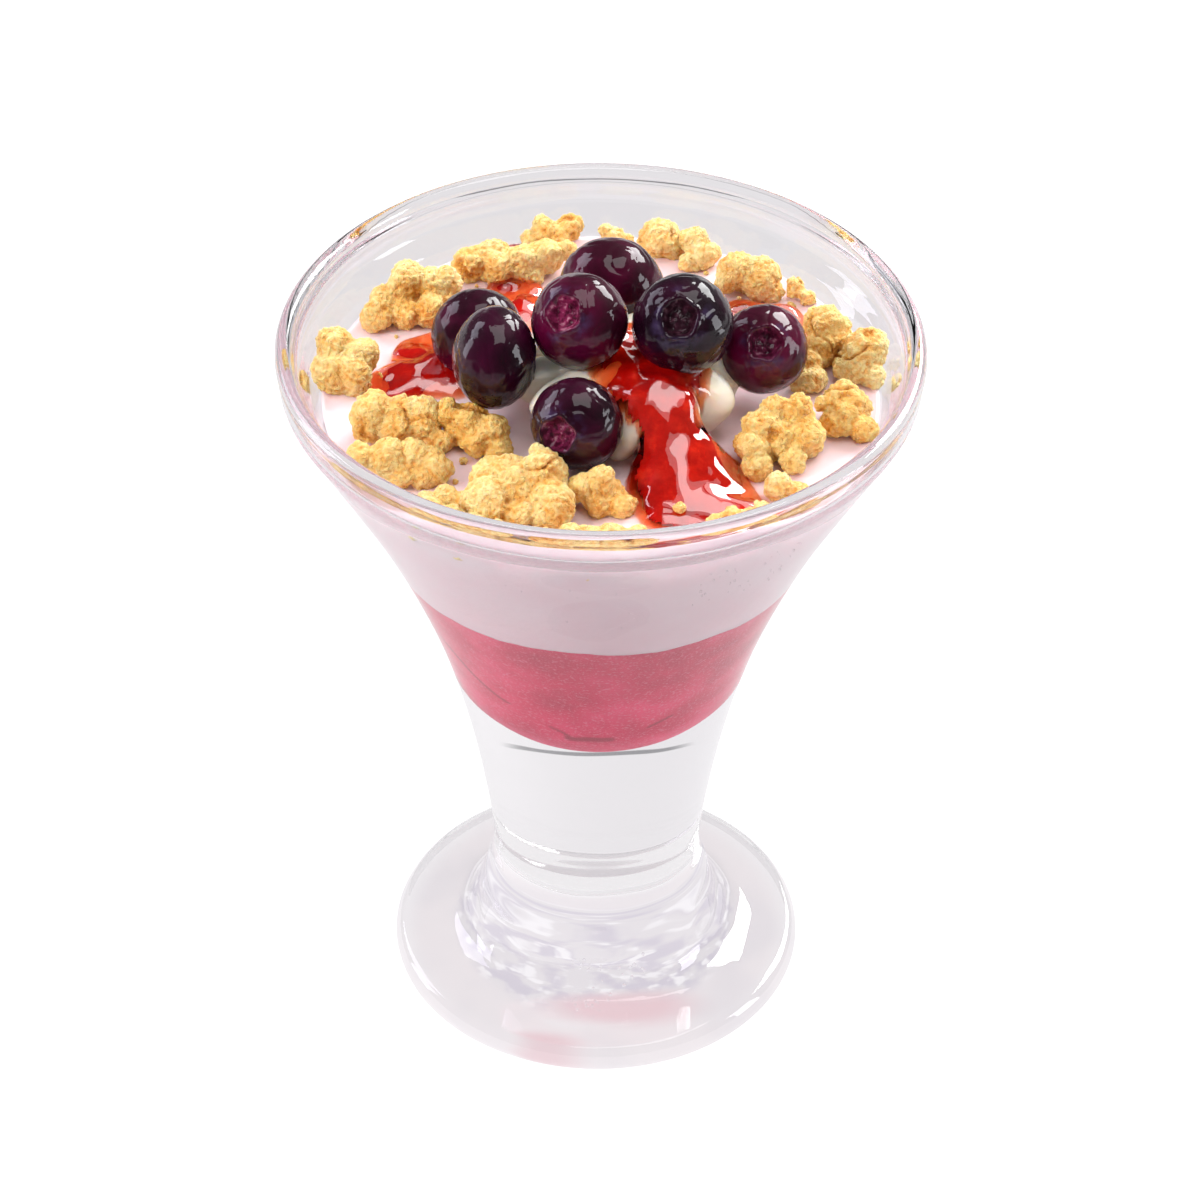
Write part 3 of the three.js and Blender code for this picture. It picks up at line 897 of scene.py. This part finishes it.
fruit_pulp, pulp_tree, pulp_shader = new_material(
    "crushed fruit", roughness=0.5, subsurface_weight=0.5, subsurface_scale=1.0)
pulp_shader.inputs["Subsurface Radius"].default_value = (1.5 * MM, 0.3 * MM, 0.2 * MM)
pulp_colour = colour_steps(pulp_tree, grain(pulp_tree, 500, 3), [
    (0.35, (0.50, 0.015, 0.035)), (0.55, (0.60, 0.03, 0.05)), (0.72, (0.76, 0.09, 0.08))])
pulp_tree.links.new(pulp_colour, pulp_shader.inputs["Base Color"])
bumped(pulp_tree, pulp_shader, grain(pulp_tree, 1200, 3), 0.15 * MM)
pulp = piece_from(pulp_shape, "fruit_pulp", fruit_pulp)
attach(pulp, "root")


# ---- crumble -------------------------------------------------------------------------------
# Clumps of baked butter crumble scattered over the yogurt. A clump is a few blunt lumps of dough
# pressed together, with a craggy sugar-grained crust and painted shade: paler where it stands proud,
# browner in its folds.
clump_lobes = {
    # millimetres from the middle of the clump's underside: across, back, up, and the radius
    1: [(-1, 1, 2, 1.6), (2.5, 1.5, 2, 1.6), (1, 0, 1, 1.6), (-3, 0, 1, 1.2)],
    2: [(-6, 0, 2, 2.4), (-2.5, -1, 1.5, 2.2), (1, 0, 2, 2.4), (4, 0.5, 2.5, 2), (7, 1.5, 3, 1.2),
        (2.5, -1.5, 1, 1.4), (-3, 1.5, 2, 2), (4, 2, 1.5, 2)],
    3: [(-1, 1.5, 4, 2.4), (2.5, 2, 3.5, 2), (5, 2.5, 4, 1.6), (-4.5, -2.5, 1.5, 2), (-1, -2, 1.5, 2),
        (2.5, -1.5, 2, 2), (0.5, 3, 1.5, 2.4), (-3, 0, 2, 2.2), (4, 1, 1.5, 2)],
    4: [(-2, 2, 4.5, 2), (1.5, 1, 3.5, 2), (-2, -1, 2, 2.4), (0.5, -1.5, 1.5, 2.4), (0, 2, 1.5, 2.4)],
    5: [(-3.5, 1, 3.5, 2.4), (0, 1, 3.5, 2), (3, 1, 3.5, 2), (-4, -1, 2, 1.6), (0, -1, 2, 2),
        (3.5, -0.5, 2.5, 2), (5.5, -2.5, 1, 1.6), (-1, 2, 1.5, 2.4), (3, 2, 1.5, 2)],
    6: [(-4.5, 2.5, 4, 1.6), (-1.5, 2, 3.5, 2), (1, 0.5, 2.5, 2), (2, -1, 1, 1.6), (-1, -1, 1.5, 1.6),
        (-3, 2, 1.5, 1.8)],
    7: [(-5, 0.5, 3, 1.6), (-2, 0.5, 3, 2), (1.5, 1, 3, 2), (4.5, 0, 2, 2), (0, -1, 1.5, 1.8),
        (3, -1, 1, 1.6), (-3, 0.5, 1.5, 2), (2, 1.5, 1.5, 2)],
    8: [(-2, -0.5, 1, 1.2), (0.5, 0, 1, 1.6), (2.5, -0.5, 1, 1.2)],
    9: [(-4, 1.5, 3.5, 2.4), (-1.5, 3, 4, 1.6), (2.5, 1.5, 4, 2.8), (4, -2, 2, 2.8), (-4, -2, 2, 2.8),
        (0, -3, 1.5, 2), (2.5, 5, 5, 1.2), (0, 0, 2, 3), (2.5, 3.5, 2, 2.6), (-2.5, 3, 2, 2.2)],
    10: [(-2.5, 0.5, 2.5, 1.6), (0, 1, 3.5, 1.6), (-0.5, -0.5, 1, 1.6), (2.5, -0.5, 1, 1.6),
         (1, 1, 1.5, 1.6)],
    11: [(-0.5, 3, 5, 2), (2.5, 3, 5, 2), (-2.5, 1, 4, 2), (3.5, 0, 3.5, 2), (-4, -1.5, 2.5, 2),
         (-3, -4, 1, 1.6), (0.5, -0.5, 3, 2), (2, -3, 1.5, 1.6), (0.5, 3, 2, 3), (-2, 0, 1.5, 2.4),
         (3, 1, 1.5, 2.4)],
    12: [(-1.5, 0, 1, 1.6), (1.5, -0.5, 1, 1.2)],
    13: [(-1, 2, 3, 2), (1, 1, 2.5, 2), (-0.5, -1, 2, 2), (2, -2.5, 1, 1.6), (-2, -2, 1.5, 1.6),
         (-3.5, 1, 2.5, 0.8), (0, 2.5, 1.5, 2)],
    14: [(0.5, 1, 3.5, 2.4), (1.8, 0, 2.5, 1.6), (-1.5, -1, 2, 2), (1.5, -2, 1, 1.6),
         (-0.5, 1.5, 1.5, 2.2)],
    15: [(-0.5, 1.5, 4.5, 2.2), (1.5, 0.5, 4, 1.6), (-1, -1.5, 3, 1.8), (0, 0.5, 1.5, 2.2),
         (-1.5, -2, 1.5, 1.6)],
    16: [(-0.2, 2, 2.2, 1.4), (-0.4, -0.8, 1, 1.6), (-1.6, -1.2, 0.6, 1.1)],
    17: [(-1.5, 1, 2.5, 2.2), (1.5, 0, 2, 2.4), (3, -1, 1, 1.6), (-3, -0.5, 1.5, 1.4), (0, 1.5, 1.5, 2)],
    18: [(-0.5, 1, 1.5, 1.2), (1, -0.5, 0.5, 1), (-1, 0, 1, 0.6)],
    19: [(0.5, 0, 1.5, 2.4), (-1.5, 0.5, 1.5, 1.2), (2.2, -0.5, 1, 1.6)],
    20: [(-1, 1.5, 2.5, 1.6), (1, -0.5, 1.5, 1.6), (-1.5, -1.5, 0.5, 1.2), (0, 0.5, 1, 1.6)],
    21: [(-2, 1.2, 1.5, 0.8), (-0.5, 0.6, 1, 1.1), (1.3, 0.2, 0.5, 0.8)],
    22: [(-6.5, 0.6, 1.3, 1.7), (-3.5, 0, 1.8, 2), (-0.5, -0.2, 1.7, 2.1), (2.5, 0, 1.9, 2),
         (5.8, 0.5, 1.5, 1.8)],
    23: [(-2.8, -1.2, 1.5, 1.7), (0, 0, 1.5, 1.9), (2.8, 1.5, 1.5, 1.7)],
    24: [(-4.8, 2.6, 1.5, 1.7), (-2.2, 1.4, 1.5, 1.8), (0.6, -0.2, 1.6, 1.9), (3.6, -1.6, 1.5, 1.8)],
}
# how brown the clumps are baked, from 0 for pale to 1 for brown
usual_bake = 0.3
clump_bake = {3: 0.35, 5: 0.4, 6: 0.95, 9: 0.05, 10: 0.7, 11: 0.55, 13: 0.6, 14: 0.15, 17: 0.2}
crumble_cell = 0.24 * MM
crust_rng = random.Random(7)
lump_faces = 9
# the higher, the sharper the edges between the faces of a lump
edge_sharpness = 10
# how far the corners of a lump reach at most, as a share of its size
roundest_lump = 1.35
roundest_square = 1.5
square_tilt = 0.12
square_chunks = {
    # clumps that broke off square: middle, half sizes, and the turn from the X axis in degrees
    14: [((0.2, 0.6, 2.9), (2.7, 2.5, 2.3), 28)],
    15: [((-0.3, 1.2, 4.1), (1.9, 1.9, 2.7), 24), ((0.6, -0.8, 2.6), (2.0, 1.7, 2.4), 40)],
}


def broken_chunk(shape, heart, faces, roundest):
    """Adds a lump with blunt edges: flat faces as (way, distance) round a middle."""
    ball = bmesh.ops.create_icosphere(shape, subdivisions=4, radius=1)
    for vertex in ball["verts"]:
        way = vertex.co.normalized()
        nearness = sum((max(0, way.dot(normal)) / distance) ** edge_sharpness for normal, distance in faces)
        vertex.co = heart + way * (nearness + roundest ** -edge_sharpness) ** (-1 / edge_sharpness)


def lumps_of(lobes, squares, middle):
    """The overlapping lumps of dough that a clump is made of."""
    shape = bmesh.new()
    for across, back, up, size in lobes:
        ways = [Vector([crust_rng.gauss(0, 1) for axis in range(3)]).normalized()
                for face in range(lump_faces)]
        faces = [(way, crust_rng.uniform(0.95, 1.25) * size * MM) for way in ways]
        broken_chunk(shape, middle + Vector((across, back, up)) * MM, faces, roundest_lump * size * MM)
    for place, half, turn in squares:
        turned_so = Matrix.Rotation(math.radians(turn), 3, "Z") @ Matrix.Rotation(square_tilt, 3, "X")
        faces = [(turned_so @ Vector(axis) * side, extent * MM)
                 for axis, extent in zip(((1, 0, 0), (0, 1, 0), (0, 0, 1)), half) for side in (1, -1)]
        broken_chunk(shape, middle + Vector(place) * MM, faces, roundest_square * max(half) * MM)
    return shape


def merged(shape, name, cell):
    """The outer skin of overlapping lumps as one closed mesh of small faces."""
    mesh = bpy.data.meshes.new(name)
    shape.to_mesh(mesh)
    shape.free()
    lump = bpy.data.objects.new(name, mesh)
    bpy.context.scene.collection.objects.link(lump)
    remesh = lump.modifiers.new("merge", "REMESH")
    remesh.mode = "VOXEL"
    remesh.voxel_size = cell
    whole = bpy.data.meshes.new_from_object(lump.evaluated_get(bpy.context.evaluated_depsgraph_get()))
    bpy.data.objects.remove(lump)
    skin = bmesh.new()
    skin.from_mesh(whole)
    rubbed(skin, 2)
    bmesh.ops.recalc_face_normals(skin, faces=skin.faces)
    skin.normal_update()
    return skin


def crumble_crust():
    """Baked dough: golden where it stands proud and brown in the cracks as painted shade, with toasted
    patches and sugar grains.
    """
    material, tree, shader = new_material(
        "baked crumble", roughness=0.72, specular_ior_level=0.35,
        subsurface_weight=0.3, subsurface_scale=1.0)
    shader.inputs["Subsurface Radius"].default_value = (1.2 * MM, 0.7 * MM, 0.3 * MM)
    # painted shade: the crust is darker where the relief sinks into cracks and holes, paler where it stands
    # proud
    pale = colour_steps(tree, attribute(tree, "relief_shade"), [
        (0.05, (0.70, 0.285, 0.046)), (0.32, (1.0, 0.58, 0.17)), (0.62, (1.0, 0.805, 0.385))])
    brown = colour_steps(tree, attribute(tree, "relief_shade"), [
        (0.05, (0.50, 0.16, 0.019)), (0.32, (0.91, 0.44, 0.086)), (0.65, (1.0, 0.66, 0.20))])
    crust = mixed(tree, attribute(tree, "bake"), pale, brown)
    patches = colour_steps(tree, grain(tree, 330, 3), [(0.48, (0, 0, 0)), (0.75, (0.45, 0.45, 0.45))])
    crust = mixed(tree, patches, crust, (0.80, 0.40, 0.075))
    toast = colour_steps(tree, grain(tree, 1500, 4), [(0.52, (0, 0, 0)), (0.7, (0.3, 0.3, 0.3))])
    crust = mixed(tree, toast, crust, (0.66, 0.30, 0.05))
    sugar = colour_steps(tree, grain(tree, 2300, 1), [(0.58, (0, 0, 0)), (0.68, (0.25, 0.25, 0.25))])
    tree.links.new(mixed(tree, sugar, crust, (1.0, 0.84, 0.48)), shader.inputs["Base Color"])
    bumped(tree, shader, grain(tree, 2200, 4), 0.38 * MM)
    bumped(tree, shader, grain(tree, 1900, kind="Voronoi"), -0.26 * MM)
    return material


golden_crust = crumble_crust()


def craggy(skin, bake):
    """Roughens a clump with folds, crumbs and grains, and notes how proud each vertex stands, for the
    painted shade in its hollows.
    """
    relief_shade = skin.verts.layers.float.new("relief_shade")
    baked = skin.verts.layers.float.new("bake")
    moves = []
    for vertex in skin.verts:
        spot = vertex.co
        crack = max(0, 0.07 - abs(noise.noise(spot * 170))) / 0.07
        crack *= step_up(0.05, 0.4, noise.noise(spot * 90 + Vector((5, 0, 0))))
        wave = noise.noise(spot * 240)
        lump = 0.55 - noise.voronoi(spot * 520)[0][0]
        crumb = 0.55 - noise.voronoi(spot * 1250 + Vector((0, 7, 0)))[0][0]
        hole = step_up(0.45, 0.75, noise.noise(spot * 330 + Vector((0, 0, 3))))
        grit = noise.noise(spot * 1700)
        raised = 0.35 * wave + 0.16 * lump + 0.2 * crumb + 0.3 * grit
        moves.append((raised - 0.6 * crack - 0.7 * hole) * MM)
        # painted shade: this value falls in cracks and holes and rises on proud lumps, and sets how dark
        # the crust is
        vertex[relief_shade] = 0.48 + 0.25 * (wave + lump + crumb) + 0.3 * grit - 0.35 * crack - 0.4 * hole
        vertex[baked] = min(1, max(0, bake + 0.6 * noise.noise(spot * 140 + Vector((2, 2, 0)))))
    for vertex, move in zip(list(skin.verts), moves):
        vertex.co += vertex.normal * move


clumps = []
for number, lobes in clump_lobes.items():
    low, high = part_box(f"crumble_{number}")
    middle = Vector(((low.x + high.x) / 2, (low.y + high.y) / 2, low.z))
    lumps = lumps_of(lobes, square_chunks.get(number, []), middle)
    skin = merged(lumps, f"clump {number}", crumble_cell)
    craggy(skin, clump_bake.get(number, usual_bake))
    clump = piece_from(skin, f"crumble_clump_{number}", golden_crust)
    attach(clump, "root")
    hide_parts(f"crumble_{number}")
    clumps.append(clump)


# ---- loose crumbs --------------------------------------------------------------------------
# Crumbs that broke off the clumps and lie round them on the yogurt and on the sauce.
crumb_rng = random.Random(11)
crumbs_a_clump = 5
crumbs_baked = 0.35
landing = plumb_tree(yogurt, cream, sauce)
covered = plumb_tree(*clumps)
crumb_places = [
    # in millimetres: across, back, and the radius
    (10.4, -27.6, 0.8), (33.6, 6.5, 0.35), (35.2, 7.5, 0.25), (-27.6, -4.4, 0.45),
]
for number in clump_lobes:
    low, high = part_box(f"crumble_{number}")
    for crumb in range(crumbs_a_clump):
        around = crumb_rng.uniform(0, 2 * math.pi)
        away = crumb_rng.uniform(0.52, 0.62)
        x = ((low.x + high.x) / 2 + (high.x - low.x) * away * math.cos(around)) / MM
        y = ((low.y + high.y) / 2 + (high.y - low.y) * away * math.sin(around)) / MM
        crumb_places.append((x, y, crumb_rng.uniform(0.2, 0.55)))

crumbs_shape = bmesh.new()
crumb_relief_shade = crumbs_shape.verts.layers.float.new("relief_shade")
crumb_bake = crumbs_shape.verts.layers.float.new("bake")
for x, y, size in crumb_places:
    spot = Vector((x * MM, y * MM, height_on(landing, x * MM, y * MM) + 0.55 * size * MM))
    in_berry = any((spot - heart).length < radius + size * MM for heart, radius in berry_balls)
    under_clump = height_on(covered, spot.x, spot.y) > spot.z
    if in_berry or under_clump or spot.xy.length > wall_radius(fill_height) - 1.2 * MM:
        continue
    crumb = bmesh.ops.create_icosphere(crumbs_shape, subdivisions=3, radius=1)
    for vertex in crumb["verts"]:
        way = vertex.co.normalized()
        rough = 1 + 0.35 * noise.noise(way * 1.4 + spot * 3000) + 0.15 * noise.noise(way * 4 + spot * 900)
        vertex.co = spot + way * rough * size * MM
        # the crust's painted shade, here spread at random over each crumb
        vertex[crumb_relief_shade] = 0.5 + 0.5 * noise.noise(way * 3 + spot * 700)
        vertex[crumb_bake] = crumbs_baked
crumbs = piece_from(crumbs_shape, "loose_crumbs", golden_crust)
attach(crumbs, "root")


# ---- droplets ------------------------------------------------------------------------------
# Small drops of condensed water on the cold outside of the bowl, on the boss and on the foot.
# They sit half in the glass, so each shows as a bead, and hang a little taller than wide.
drop_rng = random.Random(5)
drop_tallness = 1.25
glass_side = [point for point in glass_outline[:len(glass_outline) - len(well_line)] if point.z < rim_low]
drop_patches = [
    # how many, from and to round the glass in degrees, from and to in height, smallest and largest radius
    (34, -70, -48, 89, 98, 0.08, 0.22), (8, -110, -78, 84, 96, 0.08, 0.16),
    (22, -108, -66, 6.2, 11, 0.12, 0.30), (14, -100, -84, 5.1, 5.9, 0.12, 0.26),
]


def side_radius(z):
    """Radius of the glass's outside at a height."""
    for low, high in zip(glass_side, glass_side[1:]):
        if min(low.z, high.z) <= z <= max(low.z, high.z) and low.z != high.z:
            return low.x + (high.x - low.x) * (z - low.z) / (high.z - low.z)
    return rim_radius


drops_shape = bmesh.new()
for count, first, last, bottom, top, smallest, largest in drop_patches:
    for drop in range(count):
        around = math.radians(drop_rng.uniform(first, last))
        z = drop_rng.uniform(bottom, top) * MM
        size = drop_rng.uniform(smallest, largest) * MM
        heart = Vector((side_radius(z) * math.cos(around), side_radius(z) * math.sin(around), z))
        ball = bmesh.ops.create_icosphere(drops_shape, subdivisions=3, radius=size)
        for vertex in ball["verts"]:
            vertex.co.z *= drop_tallness
            vertex.co += heart
clear_water, water_tree, water_shader = new_material(
    "clear water", base_color=(1, 1, 1, 1), roughness=0.0, transmission_weight=1.0, ior=1.33)
bumped(water_tree, water_shader, grain(water_tree, 900), 0.01 * MM)
lets_lamps_through(water_tree, water_shader, (1, 1, 1, 1))
drops = piece_from(drops_shape, "droplets", clear_water)
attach(drops, "root")
